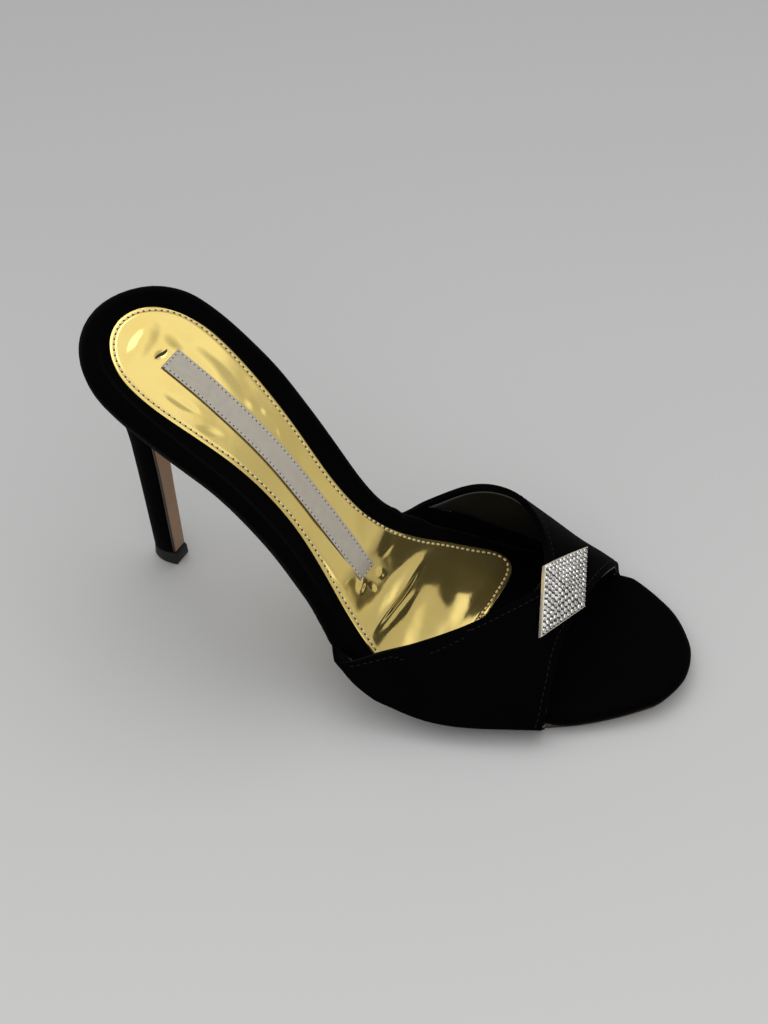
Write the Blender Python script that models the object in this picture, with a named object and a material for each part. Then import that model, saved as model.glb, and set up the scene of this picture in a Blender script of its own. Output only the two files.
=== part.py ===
"""Open-toed evening mule for the right foot, on a 105 mm covered stiletto heel.

Shapes are worked out in the last's own directions, in millimetres: "along" runs forward
on the axis of the heel seat, "across" runs to the inner side of the foot, and "up" is the
height over the floor; 0, 0 is the middle of the heel tip's front edge. The sole board
bends in one direction only, so its height depends on "along" alone. world() turns this
onto the shoe's length (+X, to the toe), with the origin under the middle of the shoe's
box, in metres.
"""
import math

import bmesh
import bpy
import numpy as np

MM = 0.001
LAST_TURN = math.radians(11.5)      # heel seat's axis against the shoe's length
MIDDLE = (79.8, -4.1)               # middle of the shoe's box, from the heel tip

GAP = 0.3                           # clearance between pieces that touch
SOCK_THICKNESS = 0.8
LABEL_THICKNESS = 0.5
STRAP_THICKNESS = 1.8
OUTSOLE_THICKNESS = 1.7
BREAST_THICKNESS = 1.2              # the outsole, skived where it runs down the heel
SKIVE_RUN = 40.0                    # over this length from where it leaves the board
LIFT_HEIGHT = 5.4

VELVET = {"colour": (0.008, 0.008, 0.009), "roughness": 0.9}
GOLD_LEATHER = {"colour": (0.83, 0.62, 0.20), "roughness": 0.12, "metallic": 1.0}
LABEL_CLOTH = {"colour": (0.55, 0.52, 0.47), "roughness": 0.8}
TAN_LEATHER = {"colour": (0.50, 0.33, 0.20), "roughness": 0.55}
LIFT_RUBBER = {"colour": (0.03, 0.03, 0.03), "roughness": 0.7}
BROOCH_METAL = {"colour": (0.85, 0.80, 0.68), "roughness": 0.2, "metallic": 1.0}

STEPS = 3                           # board stations between two rows of an outline

# Height of the sock's upper face along the shoe.
SEAT = (
    # along, height
    (-26, 111.0),
    (-15, 107.0),
    (-6, 103.2),
    (1, 99.9),
    (8, 96.4),
    (15, 92.7),
    (22, 88.5),
    (30, 83.4),
    (38, 77.7),
    (45, 71.6),
    (52, 64.4),
    (60, 55.3),
    (68, 44.7),
    (77, 33.0),
    (87, 22.6),
    (95, 15.9),
    (104, 10.6),
    (112, 8.6),
    (120, 7.6),
    (132, 7.4),
    (152, 7.4),
    (165, 8.0),
    (182, 10.1),
)

# Outline of the sole board at its widest. The heel end is half an oval.
BOARD_HEEL = (5.0, 1.2, 28.6, 27.8)     # centre along and across, length, half width
BOARD = (
    # along, outer side, inner side
    (16, -26.7, 29.2),
    (28, -25.6, 28.0),
    (40, -23.8, 25.7),
    (52, -22.1, 24.3),
    (62, -21.2, 23.8),
    (70, -21.1, 26.0),
    (75, -21.4, 31.0),
    (80, -21.9, 37.0),
    (90, -22.8, 47.6),
    (100, -23.0, 55.2),
    (110, -22.0, 60.4),
    (120, -19.2, 63.8),
    (130, -15.0, 65.8),
    (140, -10.5, 66.3),
    (149, -5.4, 64.8),
    (158, 1.2, 61.6),
    (166, 8.2, 57.3),
    (173, 15.6, 50.7),
    (178, 22.2, 43.7),
)
BOARD_TIP = (180.7, 33.4)

# Outline of the gold sock.
SOCK_HEEL = (5.0, 1.6, 20.1, 19.2)
SOCK = (
    # along, outer side, inner side
    (14, -17.3, 20.4),
    (24, -15.5, 19.0),
    (33, -13.7, 17.2),
    (42, -12.1, 15.4),
    (51, -11.0, 13.8),
    (59, -10.9, 13.3),
    (67, -11.9, 15.3),
    (74, -13.5, 20.2),
    (81, -15.3, 27.4),
    (88, -17.0, 35.8),
    (95, -18.3, 43.0),
    (101, -19.0, 48.0),
    (106, -18.3, 48.6),
    (109.2, -14.6, 44.8),
    (110.4, -6.0, 36.0),
)
SOCK_TIP = (110.8, 15.0)
SOCK_BEVEL = 0.25

# Sides of the woven patch on the sock.
LABEL = (
    # along, outer side, inner side
    (3.8, -3.5, 6.3),
    (77.0, -3.5, 5.2),
)
LABEL_STATIONS = 25

# Edge of the sole board: a rolled bead on top, widest below it, then drawn in under.
EDGE = (
    # along, flare, ridge, depth of the widest line, thickness, drawn in below
    (-26, 4.0, 1.5, 3.8, 9.2, 4.0),
    (15, 3.8, 1.5, 1.8, 9.2, 4.4),
    (35, 3.4, 1.5, 1.0, 8.8, 4.4),
    (50, 3.0, 1.3, 1.3, 8.2, 3.4),
    (65, 2.6, 0.9, 1.8, 7.2, 2.4),
    (80, 2.2, 0.4, 2.2, 5.6, 1.4),
    (95, 2.0, 0.2, 2.2, 4.7, 1.1),
    (115, 2.0, 0.0, 2.0, 4.4, 1.0),
    (182, 2.2, 0.0, 2.0, 4.4, 1.0),
)

# The bead from its inner side, over its top, to the widest line.
BEAD = (
    # share of the flare, added inset, share of the ridge up, share of the bead down
    (1.00, 2.5, 0.0, 0.00),
    (1.00, 0.6, 0.8, 0.00),
    (1.00, 0.0, 1.0, 0.00),
    (0.50, 0.0, 1.0, 0.15),
    (0.15, 0.0, 1.0, 0.50),
    (0.00, 0.0, 1.0, 1.00),
)
# The side below the widest line.
SIDE = (
    # share drawn in, share of the height
    (0.35, 0.55),
    (1.00, 1.00),
)

# Foot form under the straps, at their outer face.
FORM = (
    # along, outer side, inner side, outer top, inner top, outer and inner roundness
    (66, -25.5, 27.5, 36.0, 72.0, 1.50, 1.70),
    (76, -27.5, 42.0, 41.0, 76.0, 1.55, 2.10),
    (85, -29.4, 50.5, 46.0, 75.0, 1.65, 2.20),
    (95, -30.4, 57.2, 49.0, 70.0, 1.65, 2.10),
    (105, -29.9, 62.5, 46.5, 61.0, 1.45, 2.05),
    (117, -28.0, 65.2, 41.0, 48.5, 1.32, 2.10),
    (130, -22.6, 65.6, 36.0, 36.0, 1.40, 2.20),
    (140, -16.0, 65.0, 29.4, 29.4, 1.75, 2.40),
    (148, -11.6, 63.0, 22.8, 22.8, 2.15, 2.45),
    (156, -6.5, 61.0, 17.0, 17.0, 2.40, 2.45),
)
TUCK_HEIGHT = 5.5                   # over this height the straps draw in to the sole

# Rear and front edges of the crossed straps, round the foot from outer to inner side.
STRAP = (
    # round, rear edge, front edge
    (-1.00, 75.0, 149.0),
    (-0.90, 80.0, 149.5),
    (-0.80, 85.5, 149.9),
    (-0.70, 91.5, 149.7),
    (-0.60, 99.0, 149.1),
    (-0.45, 111.3, 147.8),
    (-0.25, 124.3, 145.0),
    (0.00, 130.9, 143.0),
    (0.25, 125.3, 142.9),
    (0.45, 113.7, 142.8),
    (0.60, 102.2, 142.2),
    (0.70, 93.8, 141.4),
    (0.80, 86.6, 140.8),
    (0.90, 79.0, 140.6),
    (1.00, 70.5, 140.6),
)

STRAP_CELLS = (64, 8)               # round the foot, and from rear to front edge
CROWDING = 1.5                      # cells grow narrower towards the sole
LAP = 0.16                          # the straps lie double over this share of the round,
LAP_RISE = 1.0                      # which raises the crossing, with a soft step
WRAP_START = (3.2, 2.0)             # the board draws in before the rear edge, and over
WRAP_END = (4.0, 3.0)               # and comes out again behind the front edge

# Covered heel, from the top lift up to the seat.
HEEL = (
    # up the breast, back, half width in front, widest half width, middle, tilt to the seat
    (0, -9.9, 3.2, 4.0, -0.9, 0.0),
    (15, -11.2, 3.5, 4.3, -0.8, 0.0),
    (35, -12.9, 3.9, 4.8, -0.7, 0.0),
    (53, -14.6, 4.5, 5.6, -0.6, 0.05),
    (63, -15.8, 6.0, 7.6, -0.4, 0.20),
    (70, -16.9, 8.4, 10.6, 0.0, 0.42),
    (76, -18.2, 11.6, 14.6, 0.4, 0.65),
    (81, -19.5, 14.6, 19.0, 0.8, 0.85),
    (85, -20.8, 17.0, 22.6, 1.1, 1.00),
)
FLAP = (
    # down from where the sole leaves the board, half width, middle
    (0, 20.0, 1.2),
    (6, 18.2, 1.1),
    (12, 15.2, 0.9),
    (18, 11.6, 0.5),
    (24, 8.4, 0.1),
    (30, 6.2, -0.3),
    (38, 4.6, -0.5),
    (46, 4.0, -0.6),
    (100, 2.9, -0.9),
)
FLAP_STEPS = (5, 46)                # distance between its stations, down to this place
FLAP_LOWER = 5                      # and stations from there to the floor
HEEL_STEPS = (12.5, 50, 2.5)        # the heel's stations: coarse up to here, then fine
LIFT = (
    # share of the height, grown outward
    (0.0, 0.0),
    (0.1, 0.3),
    (0.9, 0.1),
    (1.0, -0.2),
)
BREAST_FOOT = 0.7                   # front of the covered heel at the floor
BREAST_RAKE = -0.060                # and its lean backwards for each millimetre up
SOLE_INSET_AT = (50, 85)            # places along where the outsole's inset changes
SOLE_INSET = (5.0, 1.6)             # from the board's outline, at the waist and forward
SOLE_START = 33.0                   # hindmost place along of the outsole's full width
SWELL = 0.42                        # widest place of the heel, as a share of its depth
TURN_BELOW = 60.0                   # height where the breast begins to sweep forward
TURN_AHEAD = 27.0                   # place along the sole where it joins it

# Brooch on the crossing: a rhombus in plan, highest in the middle.
BROOCH_MIDDLE = (138.2, 27.5, 35.5)
BROOCH_ALONG = 7.6                  # half of each diagonal, in plan
BROOCH_ACROSS = 20.0
BROOCH_SKEW = -2.0                  # the inner corner lies this much to the rear
BROOCH_FALL = 0.83                  # the face slopes down to the toe
BROOCH_DISH = 0.0066                # and its back curves over the foot
BROOCH_THICKNESS = 2.0
BROOCH_RISE = 1.5                   # middle of the face over its four corners
BROOCH_CELLS = 8                    # along each edge


# ------------------------------------------------------------------ reading the tables

def read(rows, at, column=1):
    """Smooth value of a table's column at a place along it, without overshoot."""
    x = np.array([row[0] for row in rows], float)
    y = np.array([row[column] for row in rows], float)
    step = np.diff(x)
    slope = np.diff(y) / step
    same_way = slope[:-1] * slope[1:] > 0
    mean = (step[1:] * slope[:-1] + step[:-1] * slope[1:]) / (step[1:] + step[:-1])
    tangent = np.concatenate([slope[:1], np.where(same_way, mean, 0.0), slope[-1:]])
    at = np.clip(np.asarray(at, float), x[0], x[-1])
    i = np.clip(np.searchsorted(x, at, side="right") - 1, 0, len(step) - 1)
    t = (at - x[i]) / step[i]
    rise = y[i + 1] - y[i]
    bend_in = tangent[i] * step[i] - rise
    bend_out = rise - tangent[i + 1] * step[i]
    return y[i] + rise * t + t * (1 - t) * ((1 - t) * bend_in + t * bend_out)


# ------------------------------------------------------------------ the bent sole board

RUN = np.linspace(SEAT[0][0], SEAT[-1][0], 400)     # fine stations along the seat line
RISE = read(SEAT, RUN)
LENGTH = np.concatenate([[0], np.cumsum(np.hypot(np.diff(RUN), np.diff(RISE)))])
SLOPE = np.gradient(RISE, RUN)


def below(along, depth):
    """Along and up of the point at a depth square to the seat line."""
    slope = np.interp(along, RUN, SLOPE)
    size = np.hypot(1, slope)
    return along + depth * slope / size, np.interp(along, RUN, RISE) - depth / size


def height(along, depth):
    """Height, at a place along, of the face lying at a depth below the seat line."""
    at, up = below(RUN, depth if np.isscalar(depth) else depth(RUN))
    return np.interp(along, at, up)


def board_depth(along):
    """Depth of the sole board's lower face below the seat line."""
    return SOCK_THICKNESS + GAP + read(EDGE, along, 4)


def catmull(points):
    """Points on the Catmull-Rom curve through a list whose two ends only guide it."""
    points = np.array(points, float)
    out = []
    for a, b, c, d in zip(points, points[1:], points[2:], points[3:]):
        for t in np.arange(STEPS) / STEPS:
            out.append(b + 0.5 * t * (c - a + t * (2 * a - 5 * b + 4 * c - d
                                                   + t * (3 * b - a - 3 * c + d))))
    return out + [points[-2]]


def outline(oval, rows, tip):
    """Closed outline in plan: heel, outer side, tip, and the inner side back again."""
    along, across, length, half = oval
    heel = [(along - length * math.cos(a), across - half * math.sin(a),
             across + half * math.sin(a)) for a in np.radians((22.5, 45, 67.5, 90))]
    rows = heel + list(rows)
    outer = [(row[0], row[1]) for row in rows]
    inner = [(row[0], row[2]) for row in rows]
    back = [(along - length, across)]
    outer_line = catmull([inner[0]] + back + outer + [tip, inner[-1]])
    inner_line = catmull([outer[0]] + back + inner + [tip, outer[-1]])
    return np.array(outer_line + inner_line[-2:0:-1])


BOARD_RING = outline(BOARD_HEEL, BOARD, BOARD_TIP)


def inset(ring, distance):
    """The outline moved in along the board's face; the distance may vary round it."""
    flat = np.column_stack([np.interp(ring[:, 0], RUN, LENGTH), ring[:, 1]])
    ahead = np.roll(flat, -1, axis=0) - np.roll(flat, 1, axis=0)
    inward = np.column_stack([-ahead[:, 1], ahead[:, 0]])
    inward /= np.linalg.norm(inward, axis=1)[:, None]
    flat = flat + inward * np.broadcast_to(distance, len(ring))[:, None]
    return np.column_stack([np.interp(flat[:, 0], LENGTH, RUN), flat[:, 1]])


def on_board(ring, depth):
    """An outline laid at a depth below the seat line."""
    along, up = below(ring[:, 0], depth)
    return np.column_stack([along, ring[:, 1], up])


# ------------------------------------------------------------------ making the meshes

def world(point):
    """From the last's directions in millimetres to the shoe's frame in metres."""
    along, across, up = point
    x = along * math.cos(LAST_TURN) + across * math.sin(LAST_TURN) - MIDDLE[0]
    y = across * math.cos(LAST_TURN) - along * math.sin(LAST_TURN) - MIDDLE[1]
    return x * MM, y * MM, up * MM


def finish(name, bm, colour, roughness, metallic=0.0, sharp=40):
    """Turn a bmesh into a named object with its own material."""
    bmesh.ops.recalc_face_normals(bm, faces=bm.faces)
    if bm.calc_volume(signed=True) < 0:
        bmesh.ops.reverse_faces(bm, faces=bm.faces)
    mesh = bpy.data.meshes.new(name)
    bm.to_mesh(mesh)
    bm.free()
    mesh.shade_smooth()
    mesh.set_sharp_from_angle(angle=math.radians(sharp))
    material = bpy.data.materials.new(name)
    material.use_nodes = True
    shader = material.node_tree.nodes["Principled BSDF"]
    shader.inputs["Base Color"].default_value = (*colour, 1)
    shader.inputs["Roughness"].default_value = roughness
    shader.inputs["Metallic"].default_value = metallic
    mesh.materials.append(material)
    part = bpy.data.objects.new(name, mesh)
    bpy.context.collection.objects.link(part)
    return part


def bridge(bm, first, second):
    """Faces between two closed loops of vertices."""
    for i in range(len(first)):
        k = (i + 1) % len(first)
        bm.faces.new((first[i], first[k], second[k], second[i]))


def rib_cap(bm, ring):
    """Close a ring by ribs from its outer to its inner side; its two ends are points."""
    half = len(ring) // 2
    bm.faces.new((ring[0], ring[1], ring[-1]))
    for i in range(1, half - 1):
        bm.faces.new((ring[i], ring[i + 1], ring[-i - 1], ring[-i]))
    bm.faces.new((ring[half - 1], ring[half], ring[half + 1]))


def board(name, rings, **look):
    """A sheet or board from its rings, top one first, closed above and below."""
    bm = bmesh.new()
    loops = [[bm.verts.new(world(p)) for p in ring] for ring in rings]
    for first, second in zip(loops, loops[1:]):
        bridge(bm, first, second)
    rib_cap(bm, loops[0])
    rib_cap(bm, loops[-1])
    return finish(name, bm, **look)


def loft(name, sections, **look):
    """A solid through closed sections, with flat ends."""
    bm = bmesh.new()
    loops = [[bm.verts.new(world(p)) for p in ring] for ring in sections]
    for first, second in zip(loops, loops[1:]):
        bridge(bm, first, second)
    bm.faces.new(loops[0])
    bm.faces.new(loops[-1])
    return finish(name, bm, **look)


def wall(name, face, back, **look):
    """A wall between two grids of points, closed round its rim."""
    bm = bmesh.new()
    rims = []
    for sheet in (face, back):
        rows = [[bm.verts.new(world(p)) for p in row] for row in sheet]
        for first, second in zip(rows, rows[1:]):
            for i in range(len(first) - 1):
                bm.faces.new((first[i], first[i + 1], second[i + 1], second[i]))
        rims.append(rows[0] + [row[-1] for row in rows[1:]] + rows[-1][-2::-1]
                    + [row[0] for row in rows[-2:0:-1]])
    bridge(bm, *rims)
    return finish(name, bm, **look)


# ------------------------------------------------------------------ velvet-covered board

def strap_zone(ring):
    """1 where the straps wrap the board's edge, 0 elsewhere, softly between."""
    half = len(ring) // 2
    outer = np.arange(len(ring)) <= half
    start = np.where(outer, STRAP[0][1], STRAP[-1][1])
    end = np.where(outer, STRAP[0][2], STRAP[-1][2])
    place = below(ring[:, 0], board_depth(ring[:, 0]))[0]
    draws_in = np.clip((place - start + WRAP_START[0]) / WRAP_START[1], 0, 1)
    comes_out = np.clip((end + WRAP_END[0] - place) / WRAP_END[1], 0, 1)
    return draws_in * comes_out


def footbed():
    """The board: its rim follows the bead, then draws in below the widest line."""
    ring = BOARD_RING
    flare, ridge, widest, thick, under = (read(EDGE, ring[:, 0], i) for i in range(1, 6))
    zone = strap_zone(ring)
    room = zone * (STRAP_THICKNESS + GAP)
    ridge = ridge * (1 - zone)
    profile = [(share * flare + added, down * (ridge + widest) - up * ridge)
               for share, added, up, down in BEAD]
    profile += [(share * under, widest + down * (thick - widest)) for share, down in SIDE]
    base = SOCK_THICKNESS + GAP
    rings = [on_board(inset(ring, room + side), base + down) for side, down in profile]
    return board("footbed", rings, **VELVET)


def sock():
    """The gold leather sheet on the board, its upper edge bevelled."""
    ring = outline(SOCK_HEEL, SOCK, SOCK_TIP)
    rings = [on_board(inset(ring, SOCK_BEVEL), 0.0), on_board(ring, SOCK_BEVEL),
             on_board(ring, SOCK_THICKNESS)]
    return board("sock", rings, **GOLD_LEATHER)


def label():
    """Woven patch on the sock; it bends with the seat."""
    stations = np.linspace(LABEL[0][0], LABEL[-1][0], LABEL_STATIONS)
    outer = np.column_stack([stations, read(LABEL, stations, 1)])
    inner = np.column_stack([stations, read(LABEL, stations, 2)])
    middle = (outer + inner) / 2
    ring = np.vstack([middle[:1], outer, middle[-1:], inner[::-1]])
    rings = [on_board(ring, -GAP - LABEL_THICKNESS), on_board(ring, -GAP)]
    return board("label_patch", rings, **LABEL_CLOTH)


# ------------------------------------------------------------------ outsole and heel

def breast(up):
    """Place along of the breast cover's glued side at a height."""
    return BREAST_FOOT + BREAST_RAKE * up - BREAST_THICKNESS


def sole_path():
    """Glued side of the outsole from below the toe to the top lift, as along and up."""
    at, up = below(RUN, board_depth(RUN) + GAP)
    sole = np.column_stack([at, up])[RUN > TURN_AHEAD][::-1]
    ahead = sole[-1] - sole[-2]
    foot = np.array([breast(LIFT_HEIGHT), LIFT_HEIGHT])
    end = np.array([breast(TURN_BELOW), TURN_BELOW])
    reach = np.linalg.solve(np.column_stack([ahead, foot - end]), end - sole[-1])[0]
    corner = sole[-1] + reach * ahead
    t = np.linspace(0, 1, 30)[1:, None]
    turn = sole[-1] * (1 - t) ** 2 + corner * 2 * t * (1 - t) + end * t ** 2
    return np.vstack([sole, turn, foot[None]])


PATH = sole_path()
PATH_LENGTH = np.concatenate([[0], np.cumsum(np.hypot(*np.diff(PATH, axis=0).T))])
SOLE_RUN = RUN[RUN > TURN_AHEAD][::-1]              # seat stations over the path's start
LEAVE = PATH_LENGTH[len(SOLE_RUN) - 1]              # where the outsole leaves the board
FOOT = PATH_LENGTH[-1]                              # and where it meets the top lift


def on_path(at, across, down):
    """Points at a length along the outsole's path, down from its glued side."""
    at = np.asarray(at, float)
    ahead = [np.interp(at + 0.5, PATH_LENGTH, PATH[:, i])
             - np.interp(at - 0.5, PATH_LENGTH, PATH[:, i]) for i in (0, 1)]
    size = np.hypot(*ahead)
    along = np.interp(at, PATH_LENGTH, PATH[:, 0]) - ahead[1] / size * down
    up = np.interp(at, PATH_LENGTH, PATH[:, 1]) + ahead[0] / size * down
    return np.column_stack([along, np.broadcast_to(across, at.shape), up])


def sole_station(along):
    """Length along the outsole's path at a place along the seat."""
    return np.interp(-along, -SOLE_RUN, PATH_LENGTH[:len(SOLE_RUN)])


def outsole():
    """Thin leather sole; behind the arch it narrows and runs down the heel's breast."""
    ring = inset(BOARD_RING, np.interp(BOARD_RING[:, 0], SOLE_INSET_AT, SOLE_INSET))
    half = len(ring) // 2
    rows = [(ring[i], ring[-i]) for i in range(half - 1, 0, -1)]
    rows = [(a, b) for a, b in rows if min(a[0], b[0]) > SOLE_START]
    outer = [(sole_station(a[0]), a[1]) for a, b in rows]
    inner = [(sole_station(b[0]), b[1]) for a, b in rows]
    run_down = FOOT - LEAVE - GAP
    upper_part = np.arange(0, FLAP_STEPS[1], FLAP_STEPS[0])
    for down in [*upper_part, *np.linspace(FLAP_STEPS[1], run_down, FLAP_LOWER)]:
        width = read(FLAP, down)
        middle = read(FLAP, down, 2)
        outer.append((LEAVE + down, middle - width))
        inner.append((LEAVE + down, middle + width))
    tip = (sole_station(ring[half][0]), ring[half][1])
    end = (LEAVE + run_down, middle)
    flat = np.array([tip] + outer + [end] + inner[::-1])
    thick = np.interp(flat[:, 0], (LEAVE, LEAVE + SKIVE_RUN),
                      (OUTSOLE_THICKNESS, BREAST_THICKNESS))
    rings = [on_path(flat[:, 0], flat[:, 1], down) for down in (0 * thick, thick)]
    rings[1][:, 2] = np.maximum(rings[1][:, 2], 0)
    return board("outsole", rings, **TAN_LEATHER)


def heel_outline(front, back, half, widest, middle):
    """D-shaped section: flat front between two corners, sides swelling, round back."""
    depth = front - back
    side = []
    for t in np.linspace(0, SWELL, 5):
        share = 1 - ((SWELL - t) / SWELL) ** 2
        side.append((front - depth * t, half + (widest - half) * share))
    for a in np.linspace(0, math.pi / 2, 9)[1:]:
        t = SWELL + (1 - SWELL) * math.sin(a)
        side.append((front - depth * t, widest * math.cos(a)))
    other = [(along, -across) for along, across in side[-2::-1]]
    return np.array(side + other) + (0, middle)


def seat_under(along):
    """Height of the heel's upper face, which follows the sole board."""
    return height(along, lambda run: board_depth(run) + GAP)


def heel():
    """The covered heel, from sections square to the floor that turn up to the seat."""
    coarse, change, fine = HEEL_STEPS
    sections = []
    for rise in [*np.arange(0, change, coarse), *np.arange(change, HEEL[-1][0] + 1, fine)]:
        back, half, widest, middle, tilt = (read(HEEL, rise, i) for i in range(1, 6))
        front = on_path([FOOT - rise], 0, -GAP)[0]
        plan = heel_outline(front[0], back, half, widest, middle)
        lean = seat_under(plan[:, 0]) - seat_under(front[0])
        sections.append(np.column_stack([plan, front[2] + tilt * lean]))
    sections.append(np.column_stack([plan, seat_under(plan[:, 0])]))
    return loft("heel", sections, **VELVET)


def top_lift():
    """The rubber lift under the heel, bevelled above and below."""
    back, half, widest, middle = HEEL[0][1:5]
    top = LIFT_HEIGHT - GAP
    sections = []
    for share, grow in LIFT:
        plan = heel_outline(BREAST_FOOT + grow, back - grow, half + grow, widest + grow, middle)
        sections.append(np.column_stack([plan, np.full(len(plan), share * top)]))
    return loft("top_lift", sections, **LIFT_RUBBER)


# ------------------------------------------------------------------ crossed straps

def board_edge(along):
    """Across of the sole board's outer and inner edge, beside its lower face."""
    half = len(BOARD_RING) // 2
    outer, inner = BOARD_RING[:half + 1], BOARD_RING[:half - 1:-1]
    station = np.interp(along, below(RUN, board_depth(RUN))[0], RUN)
    return np.interp(station, *outer.T), np.interp(station, *inner.T)


def strap_face(turn, along):
    """A point of the straps' outer face; turn runs from -1, outer side, to 1, inner."""
    outer, inner = read(FORM, along, 1), read(FORM, along, 2)
    top = np.where(turn < 0, read(FORM, along, 3), read(FORM, along, 4))
    base = height(along, board_depth)
    angle = (1 + turn) / 2 * math.pi
    cos, sin = np.cos(angle), np.sin(angle)
    power = 2 / np.where(turn < 0, read(FORM, along, 5), read(FORM, along, 6))
    side = -np.sign(cos) * np.abs(cos) ** power
    across = (inner + outer) / 2 + side * (inner - outer) / 2
    up = base + (top - base) * np.abs(sin) ** power
    tuck = np.clip(1 - (up - base) / TUCK_HEIGHT, 0, 1)
    edge_out, edge_in = board_edge(along)
    swell = np.where(side < 0, edge_out - outer, edge_in - inner)
    return np.stack([along, across + swell * tuck * tuck * (3 - 2 * tuck), up], axis=-1)


def clear_of_board(points):
    """The same points, kept off the sole board's edge where they lie beside it."""
    along, across, up = np.moveaxis(points, -1, 0)
    edge_out, edge_in = board_edge(along)
    kept = np.where(across < (edge_out + edge_in) / 2,
                    np.minimum(across, edge_out + STRAP_THICKNESS),
                    np.maximum(across, edge_in - STRAP_THICKNESS))
    beside = up < height(along, SOCK_THICKNESS)
    return np.stack([along, np.where(beside, kept, across), up], axis=-1)


def upper():
    """Both straps as one wall, joined where they cross, open in front and behind."""
    even = np.linspace(-1, 1, STRAP_CELLS[0] + 1)[:, None]
    turn = np.sign(even) * (1 - (1 - np.abs(even)) ** CROWDING)
    share = np.linspace(0, 1, STRAP_CELLS[1] + 1)[None, :]
    rear, front = read(STRAP, turn, 1), read(STRAP, turn, 2)
    face = strap_face(turn, rear + (front - rear) * share)
    normal = np.cross(np.gradient(face, axis=1), np.gradient(face, axis=0))
    normal /= np.linalg.norm(normal, axis=2)[..., None]
    lap = LAP_RISE * np.clip(2 - np.abs(turn) / LAP * 1.5, 0, 1)[..., None]
    lining = clear_of_board(face - normal * STRAP_THICKNESS)
    return wall("upper", face + normal * lap, lining, **VELVET)


def brooch():
    """Low four-sided pyramid on a bent back; its cells run parallel to its edges."""
    cut = np.linspace(-1, 1, BROOCH_CELLS + 1)
    one, two = np.meshgrid(cut, cut, indexing="ij")
    wide, deep = (one - two) / 2, (one + two) / 2
    across = BROOCH_ACROSS * wide
    along = BROOCH_ALONG * deep + BROOCH_SKEW * wide
    slope = BROOCH_MIDDLE[2] - BROOCH_FALL * along
    corner_drop = BROOCH_DISH * BROOCH_ACROSS ** 2
    peak = BROOCH_RISE * (1 - abs(wide) - abs(deep)) - corner_drop * abs(wide)
    plan = BROOCH_MIDDLE[0] + along, BROOCH_MIDDLE[1] + across
    face = np.stack([*plan, slope + peak], axis=-1)
    back = np.stack([*plan, slope - BROOCH_DISH * across ** 2], axis=-1)
    normal = np.array([BROOCH_FALL, 0, 1]) / math.hypot(BROOCH_FALL, 1)
    return wall("brooch", face, back - normal * BROOCH_THICKNESS, **BROOCH_METAL)


for old in list(bpy.data.objects):
    bpy.data.objects.remove(old)
for make in (footbed, sock, label, outsole, heel, top_lift, upper, brooch):
    make()
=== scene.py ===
"""Open-toed evening mule for the right foot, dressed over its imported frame.

Sizes are in millimetres in the last's own directions: "along" runs forward on the axis of
the heel seat, "across" to the inner side of the foot, and "up" is the height over the
floor. Every piece is turned onto the shoe's length and into metres as it is made.
"""

import math
import random

import bmesh
import bpy
from mathutils import Matrix, Vector, noise
from mathutils.bvhtree import BVHTree
from mathutils.kdtree import KDTree


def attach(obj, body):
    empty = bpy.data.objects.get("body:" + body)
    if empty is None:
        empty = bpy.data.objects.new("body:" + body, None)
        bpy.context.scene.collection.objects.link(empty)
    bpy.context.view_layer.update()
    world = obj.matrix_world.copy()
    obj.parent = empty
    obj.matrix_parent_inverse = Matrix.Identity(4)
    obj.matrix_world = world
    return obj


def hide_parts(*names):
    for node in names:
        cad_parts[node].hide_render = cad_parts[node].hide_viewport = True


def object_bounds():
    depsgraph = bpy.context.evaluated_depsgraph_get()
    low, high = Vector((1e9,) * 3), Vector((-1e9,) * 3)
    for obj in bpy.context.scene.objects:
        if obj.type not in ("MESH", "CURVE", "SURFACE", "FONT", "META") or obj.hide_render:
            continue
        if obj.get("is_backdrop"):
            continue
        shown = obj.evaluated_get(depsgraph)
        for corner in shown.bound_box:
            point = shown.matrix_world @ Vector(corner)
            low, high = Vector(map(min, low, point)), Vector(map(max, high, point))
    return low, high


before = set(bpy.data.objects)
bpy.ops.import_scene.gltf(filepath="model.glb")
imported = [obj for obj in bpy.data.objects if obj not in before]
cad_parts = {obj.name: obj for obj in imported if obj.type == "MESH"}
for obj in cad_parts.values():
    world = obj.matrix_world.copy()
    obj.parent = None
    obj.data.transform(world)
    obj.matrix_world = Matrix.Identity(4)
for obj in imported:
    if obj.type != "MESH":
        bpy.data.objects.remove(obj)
cad_low, cad_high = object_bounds()


# ================================================================ velvet-covered board
# The board is a moulded insole with a steel shank and thin padding, wrapped in black silk
# velvet. The velvet is pulled over a soft bead round the rim and glued down underneath.

MM = 0.001
LAST_TURN = math.radians(-11.5)     # the shoe's length against the heel seat's axis
TURN = Matrix.Rotation(LAST_TURN, 3, "Z")
MIDDLE = Vector((79.8, -4.1, 0))    # middle of the shoe's box, from the heel tip


def on_last(along, across, up):
    """A place in the last's millimetres, in the shoe's own frame."""
    return (TURN @ Vector((along, across, up)) - MIDDLE) * MM


def last_of(point):
    """The place along, across and up of a point of the shoe."""
    return TURN.inverted() @ (point / MM + MIDDLE)


def bell(distance):
    """1 at the middle, falling softly to 0 at a distance of 1."""
    return (1 - distance * distance) ** 2 if abs(distance) < 1 else 0.0


def merged(node):
    """A CAD piece's shape, its loose triangles welded and paired into four-sided faces."""
    bm = bmesh.new()
    bm.from_mesh(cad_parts[node].data)
    bmesh.ops.remove_doubles(bm, verts=bm.verts, dist=0.01 * MM)
    bmesh.ops.join_triangles(bm, faces=bm.faces, angle_face_threshold=math.radians(30),
                             angle_shape_threshold=math.radians(80))
    return bm


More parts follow.
